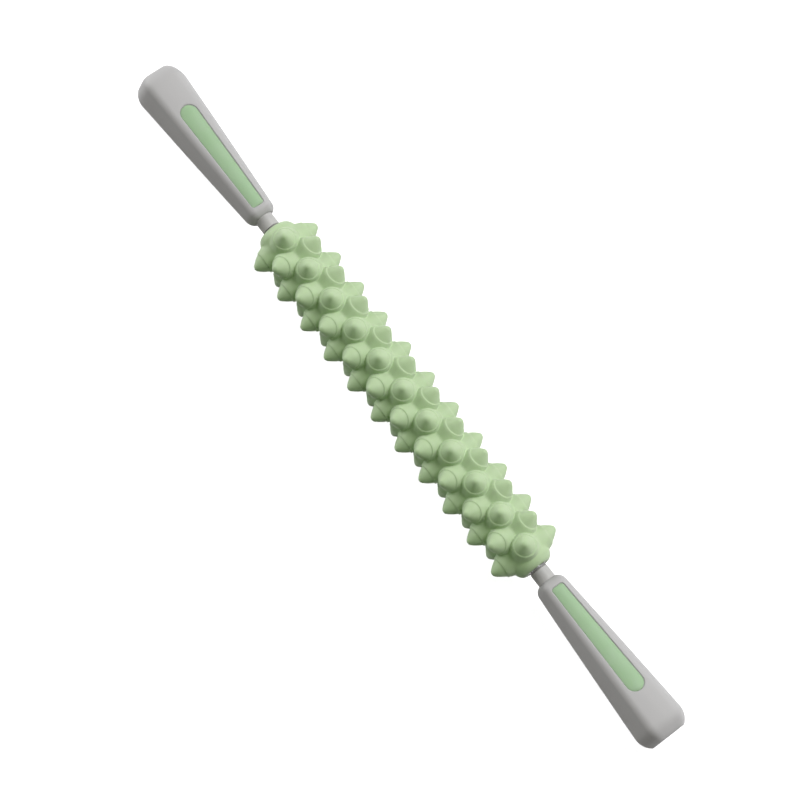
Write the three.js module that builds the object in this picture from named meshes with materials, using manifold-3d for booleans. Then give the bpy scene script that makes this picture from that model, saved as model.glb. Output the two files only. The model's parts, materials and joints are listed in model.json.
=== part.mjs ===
// Two-handled massage roller stick: a spiked soft sleeve spins freely on a steel rod
// between two tapered grips. Millimetres, the stick lies along X and +Z is up, with the
// origin on the axis midway between the grips.
import * as THREE from 'three';
import { mergeVertices } from 'three/addons/utils/BufferGeometryUtils.js';
import Module from 'manifold-3d';

const wasm = await Module();
wasm.setup();

// Driving dimensions
const GAP = 0.3; // between pieces that touch on the real object
const RUNNING = 0.15; // radial clearance of the bushes on the rod

const ROD_RADIUS = 4;
const ROD_HALF = 190;

const SLEEVE_HALF = 117.7;
const BARREL_RADIUS = 11.5;
const SLEEVE_BORE = 9.5;
const SLEEVE_LIP = 2.2; // thickness of the turned-in lip at each end
const LIP_HOLE = 6.3;
const RING_PITCH = 21.17; // between spikes of one column
const PITCHES = 10; // from the first ring to the last
const COLUMN_ANGLE = 22.5; // degrees of the spike columns either side of straight up
const SPIKES_PER_RING = 4;
const SPIKE_SIDES = 8;
// radius and height above the roller axis: foot, shoulder, blunt point
const SPIKE_OUTLINE = [[0, 7], [9.5, 7], [6.2, 15.1], [1.5, 20.8], [0, 21.2]];

const TUBE_WALL = 1.15;
const BUSH_LENGTH = 15; // of the part inside the tube

const NECK_RADIUS = 5.3;
const WASHER_THICKNESS = 1;
const FLANGE_RADIUS = 6.3;
const FLANGE_THICKNESS = 2;
const FLANGE_START = 131;

const GRIP_START = 126.5;
const GRIP_END = 229;
const GRIP_TILT = 14.5; // degrees the inlaid faces lean from straight up, towards -Y
const START_APOTHEM = 8.1; // of the six-sided section, at the neck
const TAPER = 0.0665;
const TAPER_EASE = 0.00006; // how fast the taper flattens towards the end
const CORNER = 0.33; // corner radius as a share of the apothem
const START_ROUND = { radius: 4.4, turn: 60 }; // degrees turned before the flat face
const END_ROUND = { radius: 12.3, turn: 48 };
const WALL = 2.2;
const BAYS = [[136, 145], [155, 173], [177, 193], [203, 224.5]]; // hollows between the ribs

const INLAY_START = 132;
const INLAY_END = 201.5;
const INLAY_HALF_WIDTH = { start: 3.75, end: 5.1 };
const INLAY_CORNER = 1.6;
const INLAY_SUNK = 0.4; // its face lies below the grip's
const INLAY_THICKNESS = 1.2;

const SCREW_STATIONS = { inner: 150, outer: 198 };
const SCREW = { shank: 1.25, head: 2.75, headHeight: 1.7, seat: 5.6, tip: 6.2, slot: 0.7 };

const FINISHES = {
  sleeve: { color: 0xadc899, roughness: 0.75, metalness: 0 },
  inlay: { color: 0xa3c49b, roughness: 0.6, metalness: 0 },
  grip: { color: 0xb4b2b0, roughness: 0.55, metalness: 0 },
  neck: { color: 0x9a9894, roughness: 0.5, metalness: 0 },
  nylon: { color: 0xe6e4de, roughness: 0.4, metalness: 0 },
  washer: { color: 0x55534f, roughness: 0.5, metalness: 0 },
  steel: { color: 0x9ea1a5, roughness: 0.35, metalness: 1 },
};

const radians = THREE.MathUtils.degToRad;

// Turns a closed geometry into a solid that can be joined and cut.
function solid(geometry) {
  geometry.deleteAttribute('normal');
  geometry.deleteAttribute('uv');
  const merged = mergeVertices(geometry);
  const corners = merged.index.array;
  const triangles = [];
  for (let i = 0; i < corners.length; i += 3) {
    const [a, b, c] = corners.slice(i, i + 3);
    if (a !== b && b !== c && c !== a) triangles.push(a, b, c);
  }
  return new wasm.Manifold(new wasm.Mesh({
    numProp: 3,
    vertProperties: new Float32Array(merged.attributes.position.array),
    triVerts: new Uint32Array(triangles),
  }));
}

function addPiece(group, name, shape, finish) {
  const { vertProperties, triVerts } = shape.getMesh();
  const geometry = new THREE.BufferGeometry();
  geometry.setAttribute('position', new THREE.BufferAttribute(vertProperties, 3));
  geometry.setIndex(new THREE.BufferAttribute(triVerts, 1));
  geometry.computeVertexNormals();
  const mesh = new THREE.Mesh(geometry, new THREE.MeshStandardMaterial(FINISHES[finish]));
  mesh.name = name;
  group.add(mesh);
}

// A solid of revolution about X, from [radius, x] pairs.
function turned(outline, sides = 24) {
  const points = outline.map(([radius, x]) => new THREE.Vector2(radius, x));
  return solid(new THREE.LatheGeometry(points, sides).rotateZ(-Math.PI / 2));
}

function rod(radius, from, to) {
  return turned([[0, from], [radius, from], [radius, to], [0, to]]);
}

function tube(inner, outer, from, to) {
  return turned([[inner, from], [outer, from], [outer, to], [inner, to], [inner, from]]);
}

// An upright cylinder at station x, between two heights.
function upright(radius, x, bottom, top) {
  const geometry = new THREE.CylinderGeometry(radius, radius, top - bottom, 12);
  return solid(geometry.rotateX(Math.PI / 2).translate(x, 0, (bottom + top) / 2));
}

function box(size, centre) {
  return solid(new THREE.BoxGeometry(...size).translate(...centre));
}

// Roller: sleeve, its carrier tube and the two bushes that run on the rod
function spikedSleeve() {
  const barrel = [[0, -SLEEVE_HALF], [8, -SLEEVE_HALF], [10.9, -SLEEVE_HALF + 2.1]];
  barrel.push([BARREL_RADIUS, -SLEEVE_HALF + 4.3], [BARREL_RADIUS, SLEEVE_HALF - 4.3]);
  barrel.push([10.9, SLEEVE_HALF - 2.1], [8, SLEEVE_HALF], [0, SLEEVE_HALF]);
  let sleeve = turned(barrel);
  const outline = SPIKE_OUTLINE.map(([radius, height]) => new THREE.Vector2(radius, height));
  for (let step = 0; step <= 2 * PITCHES; step += 1) {
    const x = (step / 2 - PITCHES / 2) * RING_PITCH;
    const first = step % 2 === 0 ? COLUMN_ANGLE : -COLUMN_ANGLE;
    for (let i = 0; i < SPIKES_PER_RING; i += 1) {
      const spike = new THREE.LatheGeometry(outline, SPIKE_SIDES).rotateX(Math.PI / 2);
      spike.rotateX(radians(first + (i * 360) / SPIKES_PER_RING)).translate(x, 0, 0);
      sleeve = sleeve.add(solid(spike));
    }
  }
  const bore = rod(SLEEVE_BORE, SLEEVE_LIP - SLEEVE_HALF, SLEEVE_HALF - SLEEVE_LIP);
  return sleeve.subtract(bore).subtract(rod(LIP_HOLE, -SLEEVE_HALF - 1, SLEEVE_HALF + 1));
}

const tubeRadius = SLEEVE_BORE - GAP;
const tubeHalf = SLEEVE_HALF - SLEEVE_LIP - GAP;

// A stepped bush: its nose fills the hole in the sleeve's lip.
function endBush() {
  const inner = ROD_RADIUS + RUNNING;
  const outer = tubeRadius - TUBE_WALL - GAP;
  const nose = LIP_HOLE - GAP;
  const start = tubeHalf - BUSH_LENGTH;
  return turned([
    [inner, start], [outer, start], [outer, tubeHalf], [nose, tubeHalf],
    [nose, SLEEVE_HALF], [inner, SLEEVE_HALF], [inner, start],
  ]);
}

// Grip: two half shells over the rod's end, along local +X with an inlaid face up
const endArc = END_ROUND.radius * Math.sin(radians(END_ROUND.turn));
const startArc = START_ROUND.radius * Math.sin(radians(START_ROUND.turn));

function roundOff(radius, past) {
  return past > 0 ? radius - Math.sqrt(radius ** 2 - past ** 2) : 0;
}

// Distance from the axis to the flats of the six-sided section.
function apothem(x) {
  const along = x - GRIP_START;
  const body = START_APOTHEM + TAPER * along - TAPER_EASE * along ** 2;
  const atStart = roundOff(START_ROUND.radius, GRIP_START + startArc - x);
  return body - atStart - roundOff(END_ROUND.radius, x - GRIP_END + endArc);
}

const gripStations = [0, 0.5, 1].map((t) => GRIP_START + t * startArc);
gripStations.push(160, 192);
gripStations.push(...[1, 0.65, 0.3, 0].map((t) => GRIP_END - t * endArc));

// The grip's outer form between two stations, shrunk by an inset.
function gripForm(inset, from = GRIP_START, to = GRIP_END) {
  const between = gripStations.filter((x) => x > from && x < to);
  const stations = [from, ...between, to];
  const section = new THREE.Shape();
  for (let side = 0; side < 6; side += 1) {
    const angle = radians(60 * side);
    const centre = (1 - CORNER) / Math.cos(radians(30));
    const [y, z] = [centre * Math.cos(angle), centre * Math.sin(angle)];
    section.absarc(y, z, CORNER, angle - radians(30), angle + radians(30), false);
  }
  const last = stations.length - 1;
  const settings = { depth: last, steps: last, bevelEnabled: false, curveSegments: 2 };
  const geometry = new THREE.ExtrudeGeometry(section, settings);
  const spots = geometry.attributes.position;
  for (let i = 0; i < spots.count; i += 1) {
    const x = stations[Math.round(spots.getZ(i))];
    const scale = apothem(x) - inset;
    spots.setXYZ(i, x, scale * spots.getX(i), scale * spots.getY(i));
  }
  return solid(geometry);
}

// The inlay's plan, grown all round, as a prism that rises from the parting plane.
function inlayPrism(grow) {
  const { start, end } = INLAY_HALF_WIDTH;
  const half = start + grow;
  const [x, corner] = [INLAY_START - grow, INLAY_CORNER + grow];
  const plan = new THREE.Shape();
  plan.absarc(x + corner, corner - half, corner, Math.PI, 1.5 * Math.PI, false);
  plan.absarc(INLAY_END - end, 0, end + grow, -0.5 * Math.PI, 0.5 * Math.PI, false);
  plan.absarc(x + corner, half - corner, corner, 0.5 * Math.PI, Math.PI, false);
  const settings = { depth: 16, bevelEnabled: false, curveSegments: 5 };
  return solid(new THREE.ExtrudeGeometry(plan, settings));
}

function gripInlay() {
  const skin = gripForm(INLAY_SUNK).subtract(gripForm(INLAY_SUNK + INLAY_THICKNESS));
  return inlayPrism(0).intersect(skin);
}

function halfShell(front) {
  let shell = gripForm(0);
  for (const [from, to] of BAYS) shell = shell.subtract(gripForm(WALL, from, to));
  shell = shell.subtract(rod(NECK_RADIUS + GAP, GRIP_START - 1, FLANGE_START));
  const flangeEnd = FLANGE_START + FLANGE_THICKNESS + GAP;
  shell = shell.subtract(rod(FLANGE_RADIUS + GAP, FLANGE_START - GAP, flangeEnd));
  shell = shell.subtract(rod(ROD_RADIUS + GAP, FLANGE_START, ROD_HALF + GAP));
  const upper = box([120, 40, 20], [180, 0, 10 + GAP / 2]);
  const pocket = inlayPrism(GAP).subtract(gripForm(INLAY_SUNK + INLAY_THICKNESS + GAP));
  const turnOver = [180, 0, 0];
  shell = shell.intersect(front ? upper : upper.rotate(turnOver));
  shell = shell.subtract(front ? pocket : pocket.rotate(turnOver));
  for (const x of Object.values(SCREW_STATIONS)) {
    shell = shell.subtract(upright(SCREW.shank + GAP, x, -20, SCREW.tip + GAP));
    if (!front) shell = shell.subtract(upright(SCREW.head + GAP, x, -20, -SCREW.seat));
  }
  return shell;
}

// A pan-head screw driven up through the rear shell, with a cross recess.
function screw(x) {
  const under = -SCREW.seat - GAP;
  const bottom = under - SCREW.headHeight;
  let shape = upright(SCREW.head, x, bottom, under);
  shape = shape.add(upright(SCREW.shank, x, under - 0.5, SCREW.tip));
  for (const [long, wide] of [[3, SCREW.slot], [SCREW.slot, 3]]) {
    shape = shape.subtract(box([long, wide, 1.6], [x, 0, bottom]));
  }
  return shape;
}

function coreRod() {
  let shape = rod(ROD_RADIUS, -ROD_HALF, ROD_HALF);
  for (const x of [SCREW_STATIONS.inner, -SCREW_STATIONS.inner]) {
    shape = shape.subtract(upright(SCREW.shank + GAP, x, -6, 6));
  }
  return shape;
}

function neckSleeve() {
  const inner = ROD_RADIUS + GAP;
  const start = SLEEVE_HALF + WASHER_THICKNESS + 2 * GAP;
  const end = FLANGE_START + FLANGE_THICKNESS;
  return turned([
    [inner, start], [NECK_RADIUS, start], [NECK_RADIUS, FLANGE_START],
    [FLANGE_RADIUS, FLANGE_START], [FLANGE_RADIUS, end], [inner, end], [inner, start],
  ]);
}

function thrustWasher() {
  const start = SLEEVE_HALF + GAP;
  return tube(ROD_RADIUS + GAP, NECK_RADIUS, start, start + WASHER_THICKNESS);
}

// Assembly
const stick = new THREE.Group();

const roller = new THREE.Group();
addPiece(roller, 'spiked_sleeve', spikedSleeve(), 'sleeve');
addPiece(roller, 'inner_tube', tube(tubeRadius - TUBE_WALL, tubeRadius, -tubeHalf, tubeHalf), 'nylon');
stick.add(roller);

const frame = new THREE.Group();
frame.rotation.x = radians(GRIP_TILT);
addPiece(frame, 'core_rod', coreRod(), 'steel');
stick.add(frame);

for (const [side, turn] of [['right', 0], ['left', Math.PI]]) {
  const end = new THREE.Group();
  end.rotation.z = turn;
  addPiece(end, `neck_sleeve_${side}`, neckSleeve(), 'neck');
  addPiece(end, `thrust_washer_${side}`, thrustWasher(), 'washer');
  addPiece(end, `front_shell_${side}`, halfShell(true), 'grip');
  addPiece(end, `rear_shell_${side}`, halfShell(false), 'grip');
  addPiece(end, `front_grip_inlay_${side}`, gripInlay(), 'inlay');
  addPiece(end, `rear_grip_inlay_${side}`, gripInlay().rotate([180, 0, 0]), 'inlay');
  for (const [place, x] of Object.entries(SCREW_STATIONS)) {
    addPiece(end, `handle_screw_${place}_${side}`, screw(x), 'steel');
  }
  frame.add(end);

  const rollerEnd = new THREE.Group();
  rollerEnd.rotation.z = turn;
  addPiece(rollerEnd, `end_bush_${side}`, endBush(), 'nylon');
  roller.add(rollerEnd);
}

export default stick;
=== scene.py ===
import json
import math

import bmesh
import bpy
import numpy as np
from mathutils import Matrix, Vector


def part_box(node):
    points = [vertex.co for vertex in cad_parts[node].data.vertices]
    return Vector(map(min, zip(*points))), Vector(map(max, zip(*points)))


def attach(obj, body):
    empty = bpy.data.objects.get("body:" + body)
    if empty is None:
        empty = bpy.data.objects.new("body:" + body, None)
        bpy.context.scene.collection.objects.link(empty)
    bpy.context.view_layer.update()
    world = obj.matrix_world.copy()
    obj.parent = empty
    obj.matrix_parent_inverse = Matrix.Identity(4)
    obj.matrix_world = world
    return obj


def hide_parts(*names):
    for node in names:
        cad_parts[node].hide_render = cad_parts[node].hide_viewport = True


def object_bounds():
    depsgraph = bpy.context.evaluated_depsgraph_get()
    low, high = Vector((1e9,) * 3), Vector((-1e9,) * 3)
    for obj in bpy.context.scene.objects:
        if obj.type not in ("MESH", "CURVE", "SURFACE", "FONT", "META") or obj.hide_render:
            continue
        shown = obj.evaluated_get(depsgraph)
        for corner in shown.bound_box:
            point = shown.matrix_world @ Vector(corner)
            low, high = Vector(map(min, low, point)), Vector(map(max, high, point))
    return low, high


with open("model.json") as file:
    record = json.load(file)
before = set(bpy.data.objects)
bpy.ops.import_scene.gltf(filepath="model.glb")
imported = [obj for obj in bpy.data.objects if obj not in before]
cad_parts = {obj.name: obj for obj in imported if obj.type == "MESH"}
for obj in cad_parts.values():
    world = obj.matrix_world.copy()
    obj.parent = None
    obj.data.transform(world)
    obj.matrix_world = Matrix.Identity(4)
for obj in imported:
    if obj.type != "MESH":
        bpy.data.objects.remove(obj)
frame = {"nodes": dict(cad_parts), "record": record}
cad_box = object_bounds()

MM = 0.001  # lengths below are in millimetres unless they say otherwise

# Sizes from the frame, and those that the looks add ---------------------------------------

SLEEVE_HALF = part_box("spiked_sleeve")[1].x / MM
GRIP_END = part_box("front_shell_right")[1].x / MM
GRIP_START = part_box("front_shell_right")[0].x / MM
INLAY_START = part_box("front_grip_inlay_right")[0].x / MM
INLAY_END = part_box("front_grip_inlay_right")[1].x / MM
NECK_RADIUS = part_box("thrust_washer_right")[1].y / MM
ROD_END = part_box("core_rod")[1].x / MM
ROD_RADIUS = 4.0
RUNNING = 0.15  # clearance of the bushes on the rod
LOOSE = 0.3  # clearance between pieces that don't turn on each other

RING_PITCH = 21.17
RING_STEPS = 20
COLUMN_ANGLE = 22.5  # degrees of the spike columns either side of straight up
BARREL_RADIUS = 11.5
BORE_RADIUS = 9.5
LIP_HOLE = 6.3
LIP_THICKNESS = 2.2
END_ROLL = 3.9  # length of the sleeve's rolled ends, past the skirts
CARRIER_WALL = 1.15
BUSH_LENGTH = 15.0
WASHER_THICKNESS = 1.0
END_GAP = 0.3  # from an end face of the sleeve out to its washer and in to its bush

SPIKE_TIP = 21.2  # above the roller's axis
TIP_ROUND = 2.6
TIP_TURN = 47.0  # degrees of the blunt tip before the flank starts
FLANK_FOOT = (5.6, 15.25)  # radius and height where the cone meets its ledge
FOOT_GROOVE = ((0.10, 0.10), (0.26, 0.17))  # steps out and down from the cone's foot
SHOULDER = (6.28, 15.0)  # radius and height of the ledge's outer edge
SHOULDER_ROUND = ((-0.28, -0.02), (-0.08, 0.03), (0.06, 0.18))  # steps out and down from it
FLARE = 0.40  # the skirt grows this much in radius for each unit down
SKIRT_REACH = 6.9  # from a spike's axis to the last of its round rings
SKIRT_CAP = 20.0  # above the roller's axis, where the blend cuts a skirt's cone off
SPIKE_SEGMENTS = 48
BLEND_POWER = 60  # sharpness of the valleys between skirts

GRIP_TILT = 14.5  # degrees that the front inlays lean from straight up
START_APOTHEM = 8.1
TAPER = 0.0665  # rise of the apothem along the grip
TAPER_EASE = 0.00006  # and how it slows, by the distance squared
CORNER_START, CORNER_GROWTH = 3.5, 0.13  # radius of the long corners, and its rise with apothem
CORNER_APOTHEM = 8.3  # where the long corners have their starting radius
NECK_END_ARCS = (4.8, 60, 0.8)  # wide radius, its turn in degrees, tight radius
OUTER_END_ARCS = (12.3, 48, 1.0)
CROWN = 0.18  # how far the six flats bulge towards a circle
CROWN_SIZE = 1.05  # radius of that circle, against the apothem
TOP_WIDTH = 1.3  # of the two inlaid flats, against those of a regular six-sided section
SEAM = 0.06  # half the gap between two half shells
EDGE_ROUND, EDGE_INSET = 0.35, 0.1  # a half shell's edge turns in over this height, by this
NECK_FIT = 0.12  # clearance round a neck in its shells
WALL = 2.2
BAYS = [(136, 145), (155, 173), (177, 193), (203, 224.5)]  # hollows between the cross ribs
FLANGE_START, FLANGE_THICKNESS, FLANGE_RADIUS = 131.0, 2.0, 6.3  # holds a neck in its shells

INLAY_HALF_WIDTH = (3.75, 5.1)  # at the square end and at the round end
INLAY_CORNER = 1.6
INLAY_SUNK = 0.32
INLAY_THICKNESS = 1.2
INLAY_CLEARANCE = 0.03
INLAY_CROWN = 0.55
INLAY_COLUMNS = 8
RIM_WIDTH = 0.5
RIM_DEPTH = 0.4
RIM_EDGE = 0.12  # the rim's last step, outwards and down into the pocket

SCREW_STATIONS = (150, 198)
SCREW_HEAD = 2.75
SCREW_SHANK = 1.25
SCREW_SEAT = 5.6
SCREW_DEPTH = 6.5  # of the holes in a front shell, from the axis
THROUGH = 20  # from the axis, past the outside of a shell


# Mesh helpers -----------------------------------------------------------------------------

def add_to_scene(name, data):
    obj = bpy.data.objects.new(name, data)
    bpy.context.scene.collection.objects.link(obj)
    return obj


def add_object(name, points, faces, weld=1e-4):
    """A mesh object from points in millimetres; points closer than weld become one."""
    mesh = bpy.data.meshes.new(name)
    mesh.from_pydata((np.asarray(points, float) * MM).tolist(), [], faces)
    work = bmesh.new()
    work.from_mesh(mesh)
    bmesh.ops.remove_doubles(work, verts=work.verts, dist=weld * MM)
    bmesh.ops.recalc_face_normals(work, faces=work.faces)
    work.to_mesh(mesh)
    work.free()
    return add_to_scene(name, mesh)


def show(obj, body, node, crease=40.0):
    """Finishes a piece: shading, material, the body it rides on and the node it stands for."""
    for polygon in obj.data.polygons:
        polygon.use_smooth = True
    obj.data.set_sharp_from_angle(angle=math.radians(crease))
    obj.data.materials.clear()
    obj.data.materials.append(materials[slots[node]])
    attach(obj, body)
    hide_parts(node)


def strip(rows, columns, start=0, wrap=False):
    """Quads over a grid of points stored row by row."""
    faces = []
    for row in range(rows - 1):
        for column in range(columns if wrap else columns - 1):
            a = start + row * columns + column
            b = start + row * columns + (column + 1) % columns
            faces.append((a, a + columns, b + columns, b))
    return faces


def soften(outline, radius, steps=3):
    """Rounds each corner of a closed outline of (radius, x) points."""
    points = [np.array(p, float) for p in outline]
    rounded = []
    for i, corner in enumerate(points):
        before = points[i - 1] - corner
        after = points[(i + 1) % len(points)] - corner
        cut = min(radius, np.hypot(*before) * 0.45, np.hypot(*after) * 0.45)
        start = corner + before / np.hypot(*before) * cut
        end = corner + after / np.hypot(*after) * cut
        for step in range(steps + 1):
            t = step / steps
            rounded.append((1 - t) ** 2 * start + 2 * t * (1 - t) * corner + t ** 2 * end)
    return np.array(rounded)


def turned(name, outline, round_off=0.2, segments=96):
    """A ring turned about X from a closed outline of (radius, x) points."""
    profile = soften(outline, round_off)
    angles = np.linspace(0, 2 * math.pi, segments, endpoint=False)
    points = []
    for radius, x in profile:
        points += [(x, radius * math.sin(a), radius * math.cos(a)) for a in angles]
    faces = strip(len(profile), segments, wrap=True)
    last = (len(profile) - 1) * segments
    for i in range(segments):
        j = (i + 1) % segments
        faces.append((last + i, i, j, last + j))
    return add_object(name, points, faces)


def carve(obj, cutter):
    """Cuts one closed mesh out of another and deletes the cutter."""
    cut = obj.modifiers.new("cut", "BOOLEAN")
    cut.operation = "DIFFERENCE"
    cut.solver = "EXACT"
    cut.object = cutter
    bpy.context.view_layer.update()
    result = obj.evaluated_get(bpy.context.evaluated_depsgraph_get())
    mesh = bpy.data.meshes.new_from_object(result)
    obj.modifiers.clear()
    old = obj.data
    obj.data = mesh
    bpy.data.meshes.remove(old)
    bpy.data.objects.remove(cutter)


def side_turn(side):
    """Puts a grip piece, made along +X with its inlaid face up, on one end of the stick."""
    tilt = Matrix.Rotation(math.radians(GRIP_TILT), 4, "X")
    return tilt @ Matrix.Rotation(math.pi if side == "left" else 0.0, 4, "Z")


# Materials --------------------------------------------------------------------------------

class Nodes:
    """Shader nodes of one material, added and joined by short calls."""

    def __init__(self, name):
        self.material = bpy.data.materials.new(name)
        self.material.use_nodes = True
        self.tree = self.material.node_tree
        self.shader = self.tree.nodes["Principled BSDF"]
        place = self.tree.nodes.new("ShaderNodeTexCoord")
        self.place = place.outputs["Object"]

    def link(self, source, target):
        self.tree.links.new(source, target)

    def noise(self, size_mm, detail=2.0, roughness=0.5, stretch=(1, 1, 1)):
        mapping = self.tree.nodes.new("ShaderNodeMapping")
        mapping.inputs["Scale"].default_value = stretch
        self.link(self.place, mapping.inputs["Vector"])
        node = self.tree.nodes.new("ShaderNodeTexNoise")
        node.inputs["Scale"].default_value = 1 / (size_mm * MM)
        node.inputs["Detail"].default_value = detail
        node.inputs["Roughness"].default_value = roughness
        self.link(mapping.outputs["Vector"], node.inputs["Vector"])
        return node.outputs["Fac"]

    def spread(self, value, low, high, start=0.3, end=0.7):
        node = self.tree.nodes.new("ShaderNodeMapRange")
        node.inputs["From Min"].default_value = start
        node.inputs["From Max"].default_value = end
        node.inputs["To Min"].default_value = low
        node.inputs["To Max"].default_value = high
        self.link(value, node.inputs["Value"])
        return node.outputs["Result"]

    def mix(self, factor, first, second):
        node = self.tree.nodes.new("ShaderNodeMix")
        node.data_type = "RGBA"
        self.link(factor, node.inputs["Factor"])
        for value, socket in ((first, node.inputs["A"]), (second, node.inputs["B"])):
            if isinstance(value, tuple):
                socket.default_value = (*value, 1.0)
            else:
                self.link(value, socket)
        return node.outputs["Result"]

    def bump(self, height, depth_mm, strength=1.0, under=None):
        node = self.tree.nodes.new("ShaderNodeBump")
        node.inputs["Strength"].default_value = strength
        node.inputs["Distance"].default_value = depth_mm * MM
        self.link(height, node.inputs["Height"])
        if under is not None:
            self.link(under, node.inputs["Normal"])
        return node.outputs["Normal"]

    def edges(self):
        node = self.tree.nodes.new("ShaderNodeNewGeometry")
        return node.outputs["Pointiness"]


def soft_rubber(name, base, pale, roughness):
    """Matt moulded elastomer: cloudy tone, convex edges painted paler as a highlight, and a fine
    open grain.
    """
    nodes = Nodes(name)
    shader = nodes.shader
    cloudy = nodes.spread(nodes.noise(9, 3), 0.0, 0.35)
    tone = nodes.mix(cloudy, base, pale)
    # convex edges, found by pointiness, mixed towards the pale colour: a painted highlight for
    # light catching them
    painted_edge_highlight = nodes.spread(nodes.edges(), 0.0, 0.5, 0.51, 0.58)
    nodes.link(nodes.mix(painted_edge_highlight, tone, pale), shader.inputs["Base Color"])
    grain = nodes.noise(0.35, 4, 0.6)
    ripple = nodes.noise(2.5, 2)
    nodes.link(nodes.spread(grain, roughness - 0.06, roughness + 0.08), shader.inputs["Roughness"])
    under = nodes.bump(ripple, 0.05)
    nodes.link(nodes.bump(grain, 0.03, 0.6, under), shader.inputs["Normal"])
    shader.inputs["Subsurface Weight"].default_value = 0.12
    shader.inputs["Subsurface Radius"].default_value = (0.6, 0.9, 0.4)
    shader.inputs["Subsurface Scale"].default_value = 1.2 * MM
    shader.inputs["Sheen Weight"].default_value = 0.15
    shader.inputs["Sheen Roughness"].default_value = 0.6
    shader.inputs["Specular IOR Level"].default_value = 0.3
    return nodes.material


def matt_plastic(name, base, pale, roughness, grain_mm=0.3, grain_depth=0.012):
    """Spark-textured moulded plastic with faint flow marks, and convex edges painted paler as a
    highlight.
    """
    nodes = Nodes(name)
    shader = nodes.shader
    flow = nodes.spread(nodes.noise(14, 3, 0.55, (0.35, 1, 1)), 0.0, 0.5)
    tone = nodes.mix(flow, base, pale)
    # convex edges, found by pointiness, mixed towards the pale colour: a painted highlight for
    # light catching them
    painted_edge_highlight = nodes.spread(nodes.edges(), 0.0, 0.6, 0.51, 0.6)
    nodes.link(nodes.mix(painted_edge_highlight, tone, pale), shader.inputs["Base Color"])
    grain = nodes.noise(grain_mm, 5, 0.65)
    nodes.link(nodes.spread(grain, roughness - 0.07, roughness + 0.09), shader.inputs["Roughness"])
    nodes.link(nodes.bump(grain, grain_depth), shader.inputs["Normal"])
    shader.inputs["Specular IOR Level"].default_value = 0.4
    return nodes.material


def drawn_steel(name):
    """Bright metal with fine lines along the stick."""
    nodes = Nodes(name)
    shader = nodes.shader
    lines = nodes.noise(0.25, 4, 0.6, (0.04, 1, 1))
    tone = nodes.mix(lines, (0.42, 0.43, 0.45), (0.66, 0.67, 0.69))
    nodes.link(tone, shader.inputs["Base Color"])
    nodes.link(nodes.spread(lines, 0.22, 0.42), shader.inputs["Roughness"])
    nodes.link(nodes.bump(lines, 0.004), shader.inputs["Normal"])
    shader.inputs["Metallic"].default_value = 1.0
    return nodes.material


slots = {part["node"]: part["material_slot"] for part in frame["record"]["subparts"]}
materials = {
    "sleeve": soft_rubber(
        "sleeve_elastomer", (0.452, 0.588, 0.352), (0.507, 0.633, 0.410), 0.52),
    "inlay": soft_rubber(
        "inlay_elastomer", (0.333, 0.508, 0.298), (0.402, 0.540, 0.381), 0.55),
    "grip": matt_plastic("grip_plastic", (0.453, 0.448, 0.450), (0.493, 0.488, 0.490), 0.52),
    "neck": matt_plastic("neck_plastic", (0.46, 0.455, 0.45), (0.50, 0.495, 0.49), 0.45),
    "nylon": matt_plastic(
        "natural_nylon", (0.72, 0.71, 0.66), (0.80, 0.79, 0.75), 0.38, 0.5, 0.006),
    # dark grey so the washers read as the shadowed gap at the sleeve's ends: painted shade
    "washer": matt_plastic("washer_painted_gap_shade", (0.22, 0.215, 0.21), (0.26, 0.255, 0.25), 0.42),
    "steel": drawn_steel("drawn_steel"),
}
for node, obj in frame["nodes"].items():
    obj.data.materials.clear()
    obj.data.materials.append(materials[slots[node]])


# Spiked sleeve ----------------------------------------------------------------------------

def spike_places():
    """(station, column angle in degrees) of every spike: rings step along the roller and the
    staggered rings sit between the aligned ones."""
    places = []
    for step in range(RING_STEPS + 1):
        x = (step - RING_STEPS / 2) * RING_PITCH / 2
        first = -COLUMN_ANGLE if step % 2 == 0 else COLUMN_ANGLE
        places += [(x, first + 90 * i) for i in range(4)]
    return places


def barrel_radius(x):
    """The plain barrel, rolled over towards its ends."""
    reach, drop, power = 5.2, 4.1, 1.7
    past = np.clip((np.abs(x) - (SLEEVE_HALF - reach)) / reach, 0, 1)
    return BARREL_RADIUS - drop * (1 - (1 - past ** power) ** (1 / power))


def skirt_radius(x, angle, places):
    """Distance from the roller's axis to the flared skirts and the barrel, blended."""
    apex = SHOULDER[0] + FLARE * SHOULDER[1]
    total = (barrel_radius(x) / SPIKE_TIP) ** BLEND_POWER
    for place_x, place_angle in places:
        dx = x - place_x
        near = np.abs(dx) < apex
        off = np.radians(angle - place_angle)
        cosine = np.maximum(np.cos(off), 1e-6)
        sine2 = np.sin(off) ** 2
        inside = np.maximum(apex ** 2 - dx ** 2, 0)
        root = np.sqrt(sine2 * inside + (FLARE * cosine * dx) ** 2)
        reach = inside / (apex * FLARE * cosine + root + 1e-9)
        facing = near & (np.cos(off) > 0.2)  # further round, other skirts or the barrel are higher
        share = np.minimum(reach, SKIRT_CAP) / SPIKE_TIP
        total = total + np.where(facing, share ** BLEND_POWER, 0)
    return SPIKE_TIP * total ** (1 / BLEND_POWER)


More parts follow.
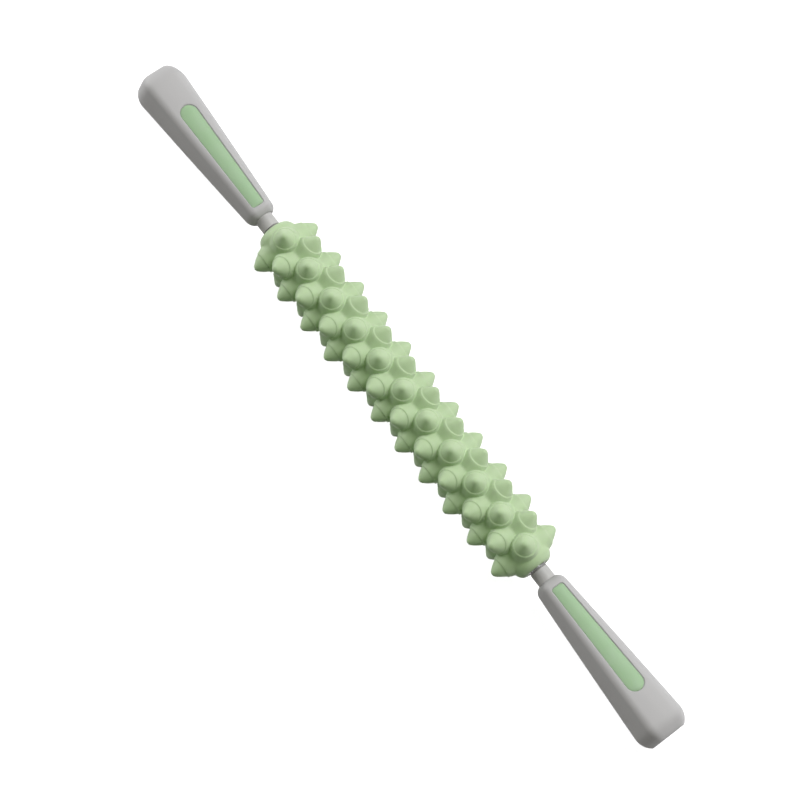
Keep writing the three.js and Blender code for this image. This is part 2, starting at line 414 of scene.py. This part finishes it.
def spike_profile():
    """(radius, height) rings from the blunt tip down to the ledge and the skirt's top."""
    rings = []
    centre = SPIKE_TIP - TIP_ROUND
    for turn in np.linspace(0, TIP_TURN, 8)[1:]:
        angle = math.radians(turn)
        rings.append((TIP_ROUND * math.sin(angle), centre + TIP_ROUND * math.cos(angle)))
    # the flank is one arc from the tip's edge to the foot
    start = np.array(rings[-1])
    chord = np.array(FLANK_FOOT) - start
    first = math.radians(TIP_TURN)
    half_turn = math.atan2(-chord[1], chord[0]) - first
    radius = np.hypot(*chord) / (2 * math.sin(half_turn))
    for t in np.linspace(0, 1, 8)[1:]:
        angle = first + 2 * half_turn * t
        rings.append((start[0] + radius * (math.sin(angle) - math.sin(first)),
                      start[1] + radius * (math.cos(angle) - math.cos(first))))
    for (base_radius, base_height), steps in ((FLANK_FOOT, FOOT_GROOVE),
                                              (SHOULDER, SHOULDER_ROUND)):
        rings += [(base_radius + out, base_height - down) for out, down in steps]
    return rings


def cell_edge(count, left_end, right_end, end_share):
    """Points round one spike's cell, in units of half a pitch and 45 degrees. A cell is a
    lozenge, squared off on the side that faces an end of the roller."""
    corners = np.array([(1, 0), (0, 1), (-1, 0), (0, -1)])
    edge = []
    for side in range(4):
        a, b = corners[side], corners[(side + 1) % 4]
        squared = right_end if side in (0, 3) else left_end
        for t in np.arange(count // 4) / (count // 4):
            if squared:
                start, stop = a * (end_share, 1), b * (end_share, 1)
                edge.append(start + stop * min(2 * t, 1) - start * max(2 * t - 1, 0))
            else:
                edge.append(a + (b - a) * t)
    return np.array(edge)


def build_sleeve():
    places = spike_places()
    count = SPIKE_SEGMENTS
    turn = np.linspace(0, 2 * math.pi, count, endpoint=False)
    rings = spike_profile()
    half_pitch = RING_PITCH / 2
    end_circle = SLEEVE_HALF - END_ROLL
    last_ring = RING_STEPS / 2 * half_pitch
    end_share = (end_circle - last_ring) / half_pitch
    points, faces = [], []

    def add_ring(x, angle, radius):
        angle = np.radians(angle)
        points.extend(np.column_stack([x, radius * np.sin(angle), radius * np.cos(angle)]))

    for place_x, place_angle in places:
        start = len(points)
        add_ring(np.array([place_x]), np.array([place_angle]), np.array([SPIKE_TIP]))
        for ring_radius, height in rings:
            across = ring_radius * np.sin(turn)
            add_ring(place_x + ring_radius * np.cos(turn),
                     place_angle + np.degrees(np.arctan2(across, height)),
                     np.hypot(across, height))
        height = SHOULDER[1] - (SKIRT_REACH - SHOULDER[0]) / FLARE
        top_x = place_x + SKIRT_REACH * np.cos(turn)
        top_angle = place_angle + np.degrees(np.arctan2(SKIRT_REACH * np.sin(turn), height))
        edge = cell_edge(count, place_x < -last_ring + 1, place_x > last_ring - 1, end_share)
        edge_x = place_x + edge[:, 0] * half_pitch
        edge_angle = place_angle + edge[:, 1] * 45
        steps = 8
        for step in range(steps + 1):
            t = step / steps
            x = top_x + (edge_x - top_x) * t
            angle = top_angle + (edge_angle - top_angle) * t
            add_ring(x, angle, skirt_radius(x, angle, places))
        for i in range(count):
            faces.append((start, start + 1 + i, start + 1 + (i + 1) % count))
        faces += strip(len(rings) + steps + 1, count, start + 1, wrap=True)

    # rolled ends, the lips round the end holes and the bore, as one run of rings
    shares = np.linspace(1, 0, 12) ** 1.35  # of the rolled length, closer towards its end
    run = [(SLEEVE_HALF - END_ROLL * share, None) for share in shares]
    run += [(SLEEVE_HALF, LIP_HOLE + 0.6), (SLEEVE_HALF - 0.1, LIP_HOLE + 0.15)]
    run += [(SLEEVE_HALF - 0.4, LIP_HOLE)]
    run += [(SLEEVE_HALF - LIP_THICKNESS, LIP_HOLE), (SLEEVE_HALF - LIP_THICKNESS, BORE_RADIUS)]
    run += [(0, BORE_RADIUS)]
    run += [(-x, radius) for x, radius in reversed(run[:-1])]
    angles = -COLUMN_ANGLE + np.arange(count) * 360 / count
    start = len(points)
    for x, radius in run:
        station = np.full(count, float(x))
        if radius is None:
            add_ring(station, angles, skirt_radius(station, angles, places))
        else:
            add_ring(station, angles, np.full(count, float(radius)))
    faces += strip(len(run), count, start, wrap=True)
    return add_object("spiked_sleeve_moulded", points, faces)


# Grips ------------------------------------------------------------------------------------

def body_apothem(x):
    along = x - GRIP_START
    return START_APOTHEM + TAPER * along - TAPER_EASE * along ** 2


def corner_radius(x):
    return CORNER_START + CORNER_GROWTH * (body_apothem(x) - CORNER_APOTHEM)


def grip_path():
    """(station, scale) steps from the middle of the neck end, over the body, to the middle of
    the outer end. Both ends turn over in a wide arc and then a tight one."""
    def end_arcs(wide, wide_turn, tight):
        turn = math.radians(wide_turn)
        steps = []
        for angle in np.linspace(0, turn, 14):
            steps.append((wide * math.sin(angle), wide * (1 - math.cos(angle))))
        x0, y0 = steps[-1]
        for angle in np.linspace(turn, math.pi / 2, 5)[1:]:
            steps.append((x0 + tight * (math.sin(angle) - math.sin(turn)),
                          y0 + tight * (math.cos(turn) - math.cos(angle))))
        return steps

    near = end_arcs(*NECK_END_ARCS)
    far = end_arcs(*OUTER_END_ARCS)
    near_start = GRIP_START + near[-1][0]
    far_start = GRIP_END - far[-1][0]
    path = [(near_start - dx, 1 - drop / body_apothem(near_start)) for dx, drop in near]
    path = [(GRIP_START, path[-1][1] * t) for t in np.linspace(0, 1, 7)[:-1]] + path[::-1]
    path += [(x, 1.0) for x in np.linspace(near_start, far_start, 60)[1:-1]]
    path += [(far_start + dx, 1 - drop / body_apothem(far_start)) for dx, drop in far]
    path += [(GRIP_END, path[-1][1] * t) for t in np.linspace(1, 0, 9)[1:]]
    return np.array(path)


def section_sides(apothem, corner):
    """The rounded section's lengths: half its top flat, its side flat, the turn from one to the
    other, and the height and reach of the middles of the corner arcs."""
    height = apothem - corner
    reach = height / math.cos(math.radians(30))
    flat = height * math.tan(math.radians(30)) * TOP_WIDTH
    side = math.hypot(reach - flat, height)
    return flat, side, math.atan2(height, reach - flat), height, reach


def section_point(apothem, corner, share):
    """A point on the upper half of the rounded six-sided section: share runs from -1 to 1
    along the outline, from one parting corner over the top flat to the other."""
    flat, side, turn, height, reach = section_sides(apothem, corner)
    length = np.abs(share) * (flat + side + corner * math.pi / 2)
    arc_end = flat + corner * turn
    on_arc = (length - flat) / corner
    on_side = length - arc_end
    last = turn + (length - arc_end - side) / corner
    parts = [length <= flat, length <= arc_end, length <= arc_end + side]
    y = np.select(parts, [
        length, flat + corner * np.sin(on_arc),
        flat + corner * math.sin(turn) + on_side * math.cos(turn)], reach + corner * np.sin(last))
    z = np.select(parts, [
        apothem + 0 * length, height + corner * np.cos(on_arc),
        height + corner * math.cos(turn) - on_side * math.sin(turn)], corner * np.cos(last))
    radius = np.hypot(y, z)
    crowned = (1 - CROWN) + CROWN * CROWN_SIZE * apothem / radius
    return np.sign(share) * y * crowned, z * crowned


def share_across(x, across):
    """The section share of a point of the top face at a given distance from its middle."""
    apothem, corner = body_apothem(x), corner_radius(x)
    flat, side = section_sides(apothem, corner)[:2]
    distance = abs(across) / ((1 - CROWN) + CROWN * CROWN_SIZE)
    if distance > flat:
        distance = flat + corner * math.asin(min((distance - flat) / corner, 1))
    return math.copysign(distance / (flat + side + corner * math.pi / 2), across)


def top_height(x, across):
    share = share_across(x, across)
    return float(section_point(body_apothem(x), corner_radius(x), np.array(share))[1])


def inlay_rows():
    """(station, half width) of the inlay from its square end to the tip of its round end."""
    start, end = INLAY_HALF_WIDTH
    centre = INLAY_END - end
    rows = []
    for angle in np.linspace(0, math.pi / 2, 7):
        rows.append((INLAY_START + INLAY_CORNER * (1 - math.cos(angle)),
                     start - INLAY_CORNER * (1 - math.sin(angle))))
    for t in np.linspace(0, 1, 62)[1:-1]:
        x = INLAY_START + INLAY_CORNER + t * (centre - INLAY_START - INLAY_CORNER)
        rows.append((x, start + (end - start) * t))
    for angle in np.linspace(0, math.pi / 2, 16):
        rows.append((centre + end * math.sin(angle), end * math.cos(angle)))
    return rows


def inlay_outline(columns):
    """The inlay's edge as a closed loop of (station, across), with outward normals."""
    rows = inlay_rows()
    loop = [(x, half) for x, half in rows]
    loop += [(x, -half) for x, half in reversed(rows[:-1])]
    first = rows[0][1]
    loop += [(INLAY_START, -first + 2 * first * i / columns) for i in range(1, columns)]
    loop = np.array(loop)
    along = np.roll(loop, -1, 0) - np.roll(loop, 1, 0)
    normal = np.column_stack([-along[:, 1], along[:, 0]])
    normal /= np.hypot(*normal.T)[:, None]
    return loop, normal


def lattice(rows, columns, height):
    """Points over the inlay's plan, row by row, at a height given by (x, across)."""
    points = []
    for x, half in rows:
        for column in range(columns + 1):
            across = (2 * column / columns - 1) * half
            points.append((x, across, height(x, across)))
    return points


def grip_outside():
    """The outer face of a front half shell with the stepped pocket for its inlay."""
    loop, normal = inlay_outline(INLAY_COLUMNS)
    count = len(loop)
    path = grip_path()
    drops = np.diff(path[:, 1]) * body_apothem(path[:-1, 0])
    run = np.concatenate([[0], np.cumsum(np.hypot(np.diff(path[:, 0]), drops))])
    points = []

    def add_loop(shape, level):
        for x, across in shape:
            points.append((x, across, top_height(x, across) + level))

    # up the pocket's wall and over its rounded rim, as (distance out, height)
    pocket_floor = INLAY_SUNK + INLAY_THICKNESS + 0.1
    levels = [(0.0, -pocket_floor), (0.0, -RIM_DEPTH - RIM_EDGE), (0.04, -RIM_DEPTH)]
    levels += [(0.25, -RIM_DEPTH * 0.74), (0.45, -RIM_DEPTH * 0.34), (0.56, -RIM_DEPTH * 0.13)]
    levels += [(RIM_WIDTH, -RIM_DEPTH * 0.03), (RIM_WIDTH + RIM_EDGE, 0.0)]
    for offset, level in levels:
        add_loop(loop + normal * offset, level)

    # from the pocket's rim out to the seam and the two end centres: each point of the rim
    # runs to a stop point, which the rim's four corners share out
    rim = loop + normal * (RIM_WIDTH + RIM_EDGE)
    start_run = np.interp(rim[:, 0], path[:, 0] + np.arange(len(path)) * 1e-9, run)
    start_share = np.array([share_across(x, across) for x, across in rim])
    rows = len(inlay_rows())
    corner_a, corner_b = 3, rows - 12  # halfway round a square corner, early on the round end
    stop_run = np.empty(count)
    stop_share = np.empty(count)
    total = run[-1]
    side = slice(corner_a, corner_b + 1)
    first_x = rim[corner_a, 0]
    span = rim[corner_b, 0] - first_x
    stop_run[side] = total * (rim[side, 0] - first_x) / span
    stop_share[side] = 1.0
    mirror = [2 * (rows - 1) - i for i in range(corner_a, corner_b + 1)]
    stop_run[mirror] = stop_run[side]
    stop_share[mirror] = -1.0
    tip = np.arange(corner_b, 2 * (rows - 1) - corner_b + 1)
    stop_run[tip] = total
    stop_share[tip] = np.linspace(1, -1, len(tip))
    back = np.r_[np.arange(2 * (rows - 1) - corner_a, count), np.arange(0, corner_a + 1)]
    stop_run[back] = 0.0
    stop_share[back] = np.linspace(-1, 1, len(back))
    steps = 44
    for step in range(1, steps + 1):
        t = step / steps
        here = start_run + (stop_run - start_run) * t
        share = start_share + (stop_share - start_share) * t
        x = np.interp(here, run, path[:, 0])
        scale = np.interp(here, run, path[:, 1])
        for i in range(count):
            y, z = section_point(body_apothem(x[i]), corner_radius(x[i]), share[i])
            points.append((x[i], scale[i] * float(y), scale[i] * float(z)))
    faces = strip(len(levels) + steps, count, wrap=True)
    start = len(points)
    points += lattice(inlay_rows(), INLAY_COLUMNS,
                      lambda x, across: top_height(x, across) - pocket_floor)
    faces += strip(rows, INLAY_COLUMNS + 1, start)
    return points, faces


def plain_form(name, inset, start, end):
    """The grip's whole form between two stations, drawn in by an inset."""
    shares = np.linspace(-1, 1, 25)
    stations = np.linspace(start, end, 9)
    points = []
    for x in stations:
        y, z = section_point(body_apothem(x) - inset, corner_radius(x) - 0.6 * inset, shares)
        points += [(x, a, b) for a, b in zip(y, z)]
        points += [(x, -a, -b) for a, b in zip(y[1:-1], z[1:-1])]
    count = len(points) // len(stations)
    faces = strip(len(stations), count, wrap=True)
    faces += [tuple(range(count)), tuple(range(len(points) - count, len(points)))]
    return add_object(name, points, faces)


def drum(name, radius, start, end, upright_at=None, segments=48):
    """A plain cylinder for cutting: along X, or upright at one station."""
    points = []
    for end_place in (start, end):
        for i in range(segments):
            angle = 2 * math.pi * i / segments
            a, b = radius * math.cos(angle), radius * math.sin(angle)
            points.append((end_place, a, b) if upright_at is None
                          else (upright_at + a, b, end_place))
    faces = strip(2, segments, wrap=True)
    faces += [tuple(range(segments)), tuple(range(segments, 2 * segments))]
    return add_object(name, points, faces)


def half_shell(name, front):
    points, faces = grip_outside()
    points = np.array(points)
    # lift the parting edge by half the seam and round it over
    low = points[:, 2] < EDGE_ROUND
    ease = np.clip(1 - points[low, 2] / EDGE_ROUND, 0, 1) ** 2
    points[low, 1] -= np.sign(points[low, 1]) * EDGE_INSET * ease
    points[:, 2] = np.maximum(points[:, 2], 0) + SEAM
    shell = add_object(name, points, faces, weld=2e-3)
    work = bmesh.new()
    work.from_mesh(shell.data)
    open_edges = [edge for edge in work.edges if edge.is_boundary]
    bmesh.ops.holes_fill(work, edges=open_edges)
    bmesh.ops.recalc_face_normals(work, faces=work.faces)
    work.to_mesh(shell.data)
    work.free()
    for start, end in BAYS:
        carve(shell, plain_form("cutter", WALL, start, end))
    carve(shell, drum("cutter", NECK_RADIUS + NECK_FIT, GRIP_START - 1, FLANGE_START))
    carve(shell, drum("cutter", FLANGE_RADIUS + LOOSE, FLANGE_START - LOOSE,
                      FLANGE_START + FLANGE_THICKNESS + LOOSE))
    carve(shell, drum("cutter", ROD_RADIUS + LOOSE, FLANGE_START, ROD_END + LOOSE))
    for x in SCREW_STATIONS:
        if front:
            carve(shell, drum("cutter", SCREW_SHANK + LOOSE, -1, SCREW_DEPTH, x))
        else:
            carve(shell, drum("cutter", SCREW_SHANK + LOOSE, -1, THROUGH, x))
            carve(shell, drum("cutter", SCREW_HEAD + LOOSE, SCREW_SEAT, THROUGH, x))
    return shell


def grip_inlay(name):
    """A crowned inlay with rounded edges, sunk a little into its pocket."""
    columns = INLAY_COLUMNS
    loop, normal = inlay_outline(columns)
    rows = len(inlay_rows())
    bottom = INLAY_SUNK + INLAY_THICKNESS

    def crown(i, share):
        return INLAY_CROWN * (1 - share ** 2) * min(1.0, min(i, rows - 1 - i) / 8)

    # the rounded edge, from the bottom up, as (inset, height)
    edges = [(0.1, -bottom), (0, -bottom + 0.1), (0, -INLAY_SUNK - 0.22),
             (0.05, -INLAY_SUNK - 0.06), (0.16, -INLAY_SUNK)]
    loops = [loop - normal * (INLAY_CLEARANCE + inset) for inset, _ in edges]
    points = []
    for shape, (_, level) in zip(loops, edges):
        points += [(x, across, top_height(x, across) + level) for x, across in shape]
    faces = strip(len(edges), len(loop), wrap=True)

    # the crowned top and the bottom follow the last and the first loop, row by row
    for shape, is_top in ((loops[-1], True), (loops[0], False)):
        start = len(points)
        for i, (x, wide) in enumerate(shape[:rows]):
            for share in np.linspace(-1, 1, columns + 1):
                level = crown(i, share) - INLAY_SUNK if is_top else -bottom
                points.append((x, share * wide, top_height(x, share * wide) + level))
        faces += strip(rows, columns + 1, start)
    return add_object(name, points, faces, weld=0.06)


# Assembly ---------------------------------------------------------------------------------

show(build_sleeve(), "roller", "spiked_sleeve", 60)

carrier_radius = BORE_RADIUS - 0.1
carrier_half = SLEEVE_HALF - LIP_THICKNESS - 0.1
bore = carrier_radius - CARRIER_WALL
show(turned("carrier_tube", [(bore, -carrier_half), (carrier_radius, -carrier_half),
                             (carrier_radius, carrier_half), (bore, carrier_half)]),
     "roller", "inner_tube")

bush_hole, rod_hole = ROD_RADIUS + RUNNING, ROD_RADIUS + LOOSE
bush_start, bush_end = carrier_half - BUSH_LENGTH, SLEEVE_HALF - END_GAP
washer_start = SLEEVE_HALF + END_GAP
washer_end, washer_radius = washer_start + WASHER_THICKNESS, NECK_RADIUS - 0.25
neck_start, neck_end = washer_end + 0.1, FLANGE_START + FLANGE_THICKNESS
turned_pieces = [
    ("bush", "roller", "end_bush", [
        (bush_hole, bush_start), (bore - 0.1, bush_start), (bore - 0.1, carrier_half),
        (LIP_HOLE - 0.15, carrier_half), (LIP_HOLE - 0.15, bush_end), (bush_hole, bush_end)]),
    ("washer", "frame", "thrust_washer", [
        (rod_hole, washer_start), (washer_radius, washer_start),
        (washer_radius, washer_end), (rod_hole, washer_end)]),
    ("neck", "frame", "neck_sleeve", [
        (rod_hole, neck_start), (NECK_RADIUS, neck_start), (NECK_RADIUS, FLANGE_START),
        (FLANGE_RADIUS, FLANGE_START), (FLANGE_RADIUS, neck_end), (rod_hole, neck_end)]),
]

for side in ("right", "left"):
    turn = side_turn(side)
    for name, body, node, outline in turned_pieces:
        piece = turned(f"{name}_{side}", outline)
        piece.data.transform(turn)
        show(piece, body, f"{node}_{side}")

    for place, flip in (("front", 0.0), ("rear", math.pi)):
        flipped = turn @ Matrix.Rotation(flip, 4, "X")
        shell = half_shell(f"{place}_half_{side}", place == "front")
        shell.data.transform(flipped)
        show(shell, "frame", f"{place}_shell_{side}", 50)
        inlay = grip_inlay(f"{place}_inlay_{side}")
        inlay.data.transform(flipped)
        show(inlay, "frame", f"{place}_grip_inlay_{side}", 50)


# Camera, floor and lights -----------------------------------------------------------------

SWING, LEAN, ROLL = 11.0, 31.0, 52.0  # degrees: end towards the camera, off vertical, in frame
DISTANCE = 1.30  # metres, as are the sizes below
FRAME_SHIFT = (0.0016, 0.0018)  # of the camera, left and down, so that the stick sits as seen
LENS, SENSOR = 108.5, 36.0  # in millimetres
LIGHT_DISTANCE = 3.0
FLOOR_REACH = 6.0
AMBIENT = 0.003
FLOOR_LIFT = 3.9


def aim(obj, place, right, up):
    """Puts an object at a place, looking back along right x up."""
    back = right.cross(up)
    turn = Matrix((right, up, back)).transposed().to_4x4()
    obj.matrix_world = Matrix.Translation(place) @ turn


swing, lean, roll = (math.radians(angle) for angle in (SWING, LEAN, ROLL))
towards = Vector((math.sin(swing), -math.cos(swing) * math.sin(lean),
                  math.cos(swing) * math.cos(lean)))
along = (Vector((1, 0, 0)) - towards * towards.x).normalized()
across = towards.cross(along)
right = along * math.cos(roll) + across * math.sin(roll)
up = across * math.cos(roll) - along * math.sin(roll)

camera_data = bpy.data.cameras.new("camera")
camera_data.lens = LENS
camera_data.sensor_width = SENSOR
camera_data.clip_start = 0.05
camera_data.clip_end = 20.0
camera = add_to_scene("camera", camera_data)
aim(camera, towards * DISTANCE - right * FRAME_SHIFT[0] - up * FRAME_SHIFT[1], right, up)
bpy.context.scene.camera = camera

# the surroundings look white to the camera and hardly light the object
world = bpy.data.worlds.new("studio")
world.use_nodes = True
world_tree = world.node_tree
background = world_tree.nodes["Background"]
background.inputs["Color"].default_value = (1.0, 1.0, 1.0, 1.0)
rays = world_tree.nodes.new("ShaderNodeLightPath")
strength = world_tree.nodes.new("ShaderNodeMapRange")
strength.inputs["To Min"].default_value = AMBIENT
strength.inputs["To Max"].default_value = 1.0
world_tree.links.new(rays.outputs["Is Camera Ray"], strength.inputs["Value"])
world_tree.links.new(strength.outputs["Result"], background.inputs["Strength"])
bpy.context.scene.world = world
bpy.context.scene.view_settings.view_transform = "Standard"

floor_nodes = Nodes("studio_floor")
pale = floor_nodes.mix(floor_nodes.noise(400, 2), (0.76, 0.76, 0.76), (0.80, 0.80, 0.80))
floor_nodes.link(pale, floor_nodes.shader.inputs["Base Color"])
floor_nodes.shader.inputs["Roughness"].default_value = 0.9
floor_level = cad_box[0][2]
floor_corners = [(x * FLOOR_REACH, y * FLOOR_REACH, floor_level)
                 for x, y in ((-1, -1), (1, -1), (1, 1), (-1, 1))]
floor_mesh = bpy.data.meshes.new("floor")
floor_mesh.from_pydata(floor_corners, [], [(0, 1, 2, 3)])
floor_mesh.materials.append(floor_nodes.material)
floor = add_to_scene("floor", floor_mesh)
floor.visible_diffuse = False


# The lights stand round the line of sight. Only the pieces block them, so the floor never cuts
# off a low one. The key light reaches everything and the others only pieces, while a lift that
# only the floor receives keeps it near white. The sleeve's shaded side gets green light, as its
# real rubber glows where spikes face each other.

def group(name, members):
    collection = bpy.data.collections.new(name)
    for member in members:
        collection.objects.link(member)
    return collection


sleeve = bpy.data.objects["spiked_sleeve_moulded"]
meshes = [obj for obj in bpy.context.scene.objects if obj.type == "MESH" and obj is not floor]
pieces = group("pieces", meshes)
sleeve_only = group("sleeve_only", [sleeve])
other_pieces = group("other_pieces", [obj for obj in meshes if obj is not sleeve])
floor_only = group("floor_only", [floor])


def soft_light(name, off_view, turn, size, power, receivers=pieces, colour=(1.0, 1.0, 1.0)):
    """A light off_view degrees from the camera, turned from across towards the far end."""
    data = bpy.data.lights.new(name, "AREA")
    data.shape = "DISK"
    data.size = size
    data.energy = power
    data.color = colour
    light = add_to_scene(name, data)
    off_view, turn = math.radians(off_view), math.radians(turn)
    sideways = across * math.cos(turn) - along * math.sin(turn)
    back = (towards * math.cos(off_view) + sideways * math.sin(off_view)).normalized()
    side = back.cross(Vector((1, 0, 0))).normalized()
    aim(light, back * LIGHT_DISTANCE, side, back.cross(side))
    light.light_linking.receiver_collection = receivers
    light.light_linking.blocker_collection = pieces


soft_light("key", 50, 8, 2.4, 84, receivers=None)
soft_light("top", 100, 0, 2.4, 27)
soft_light("far_end", 88, 105, 3.0, 70)
soft_light("near_end", 80, 285, 2.4, 18)
soft_light("front", 10, 0, 2.4, 12, colour=(1.0, 0.985, 0.90))
soft_light("fill", 52, 180, 3.0, 6.5, other_pieces, (1.0, 0.97, 0.78))
soft_light("sleeve_fill", 45, 180, 3.0, 8, sleeve_only, (0.40, 1.0, 0.02))

lift_data = bpy.data.lights.new("floor_lift", "SUN")
lift_data.energy = FLOOR_LIFT
lift = add_to_scene("floor_lift", lift_data)
lift.light_linking.receiver_collection = floor_only
lift.light_linking.blocker_collection = floor_only
